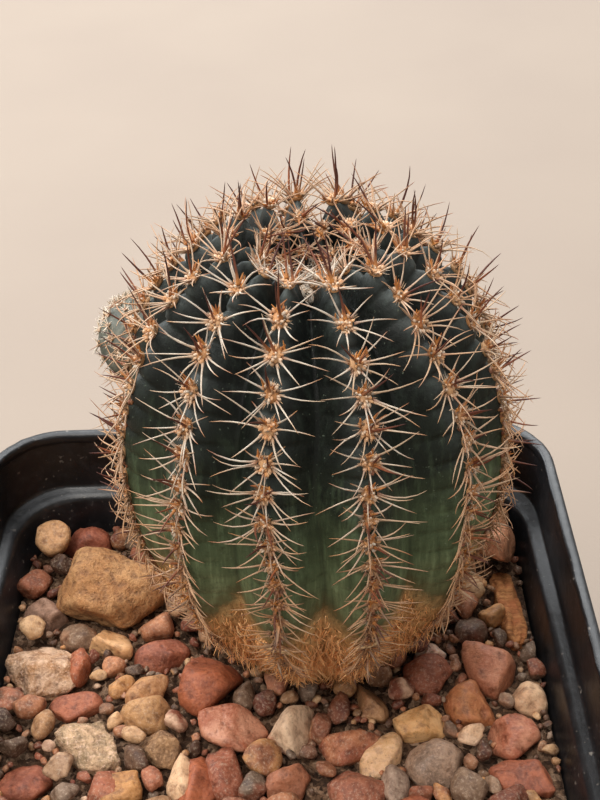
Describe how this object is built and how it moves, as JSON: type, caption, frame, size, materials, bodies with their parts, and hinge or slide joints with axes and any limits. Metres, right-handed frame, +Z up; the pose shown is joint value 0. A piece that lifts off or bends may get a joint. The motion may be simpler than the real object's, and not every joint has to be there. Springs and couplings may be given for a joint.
{
  "type": "potted round cactus",
  "caption": "Round ribbed cactus with rows of spines and a young offset, standing in gravel in a square black nursery pot.",
  "frame": {"origin": "middle of the pot's flat underside, on the surface that the pot stands on", "axes": "+Z up along the pot's height; -Y is the front, the side with the open gravel; +X is to the right seen from the front; the stem stands behind and right of the pot's middle"},
  "size_m": [0.09, 0.0958, 0.1363],
  "materials": {
    "black_plastic": "satin black injection-moulded plastic, grey sheen on lit edges",
    "potting_soil": "dark damp mineral potting mix with grit",
    "fine_gravel": "mixed fine gravel and grit, red, tan and grey",
    "cactus_skin": "blackish blue-green waxy skin, greener and streaked below, corky orange-tan foot",
    "offset_skin": "grey-green waxy skin",
    "spines": "cream radial spines, dark red-brown centrals, tan felt areoles",
    "crown_spines": "young cream, orange and red-brown spines with white wool",
    "bark": "weathered pine bark, tan",
    "red_stone": "brick-red rounded stones, matt, some pale bands",
    "pink_stone": "pink-orange rounded stone",
    "tan_stone": "tan and sandy grained stones",
    "ochre_stone": "ochre and orange lumpy stones",
    "cream_stone": "cream and whitish stones, some with grey crust",
    "grey_stone": "grey and greenish translucent stones",
    "quartz": "white quartz chip"
  },
  "bodies": {
    "root": {"bark_chip": "bark", "cactus_stem": "cactus_skin", "crown_spines": "crown_spines", "fine_gravel": "fine_gravel", "offset_spines": "spines", "offset_stem": "offset_skin", "potting_soil": "potting_soil", "rib_01_spines": "spines", "rib_02_spines": "spines", "rib_03_spines": "spines", "rib_04_spines": "spines", "rib_05_spines": "spines", "rib_06_spines": "spines", "rib_07_spines": "spines", "rib_08_spines": "spines", "rib_09_spines": "spines", "rib_10_spines": "spines", "rib_11_spines": "spines", "rib_12_spines": "spines", "rib_12_spines_lower": "spines", "rib_13_spines": "spines", "square_pot": "black_plastic", "stone_amber_corner": "tan_stone", "stone_amber_left": "tan_stone", "stone_banded_red": "red_stone", "stone_big_red": "red_stone", "stone_brick_corner": "red_stone", "stone_brick_front": "red_stone", "stone_brown_red": "red_stone", "stone_cream_edge": "cream_stone", "stone_cream_front": "cream_stone", "stone_cream_lichen": "cream_stone", "stone_cream_oval": "cream_stone", "stone_cream_pebble": "cream_stone", "stone_green_grey": "grey_stone", "stone_grey_clear": "grey_stone", "stone_grey_front": "grey_stone", "stone_grey_pink": "grey_stone", "stone_ochre_cobble": "ochre_stone", "stone_ochre_flat": "ochre_stone", "stone_ochre_front": "ochre_stone", "stone_orange_edge": "ochre_stone", "stone_orange_egg": "ochre_stone", "stone_pink_cobble": "pink_stone", "stone_quartz_chip": "quartz", "stone_red_back": "red_stone", "stone_red_bean": "red_stone", "stone_red_edge": "red_stone", "stone_red_front_left": "red_stone", "stone_red_left": "red_stone", "stone_red_long": "red_stone", "stone_red_oval": "red_stone", "stone_red_round": "red_stone", "stone_red_slab": "red_stone", "stone_rose_front": "red_stone", "stone_tan_front": "tan_stone", "stone_tan_grain": "tan_stone", "stone_tan_oval": "tan_stone", "stone_tan_wedge": "tan_stone", "stone_white_rough": "cream_stone"}
  },
  "joints": []
}
